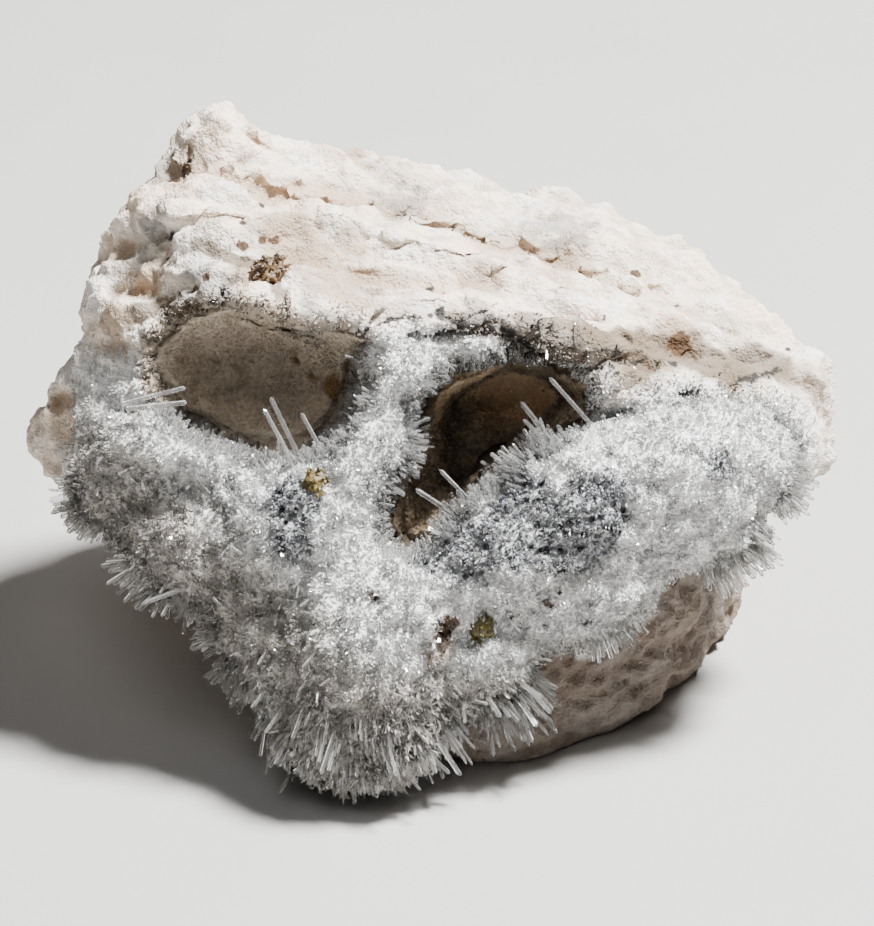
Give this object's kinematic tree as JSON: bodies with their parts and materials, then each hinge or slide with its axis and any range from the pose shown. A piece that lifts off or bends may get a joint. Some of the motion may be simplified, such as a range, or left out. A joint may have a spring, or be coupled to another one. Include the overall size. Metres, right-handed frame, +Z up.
{
  "type": "natrolite crystal specimen",
  "caption": "Hand-sized mineral specimen: a cream weathered matrix rock with a flat base, and a leaning front face under a crust of radiating white natrolite needles round two lined hollows.",
  "frame": {"origin": "under the middle of the bounding box, on the surface that the flat base rests on", "axes": "+Z up; +X to the right along the specimen's width, seen from the crystal side; the crystal face looks towards -Y and leans back"},
  "size_m": [0.0856, 0.0674, 0.0575],
  "materials": {
    "matrix_rock": "matte",
    "natrolite": "satin",
    "taupe_druse": "matte",
    "brown_druse": "matte",
    "olive_mineral": "matte",
    "brown_mineral": "matte"
  },
  "bodies": {
    "root": {"matrix_rock": "matrix_rock", "natrolite_crust": "natrolite", "left_hollow_lining": "taupe_druse", "right_hollow_lining": "brown_druse", "olive_mineral_left": "olive_mineral", "olive_mineral_centre": "olive_mineral", "brown_mineral_top": "brown_mineral"}
  },
  "joints": []
}
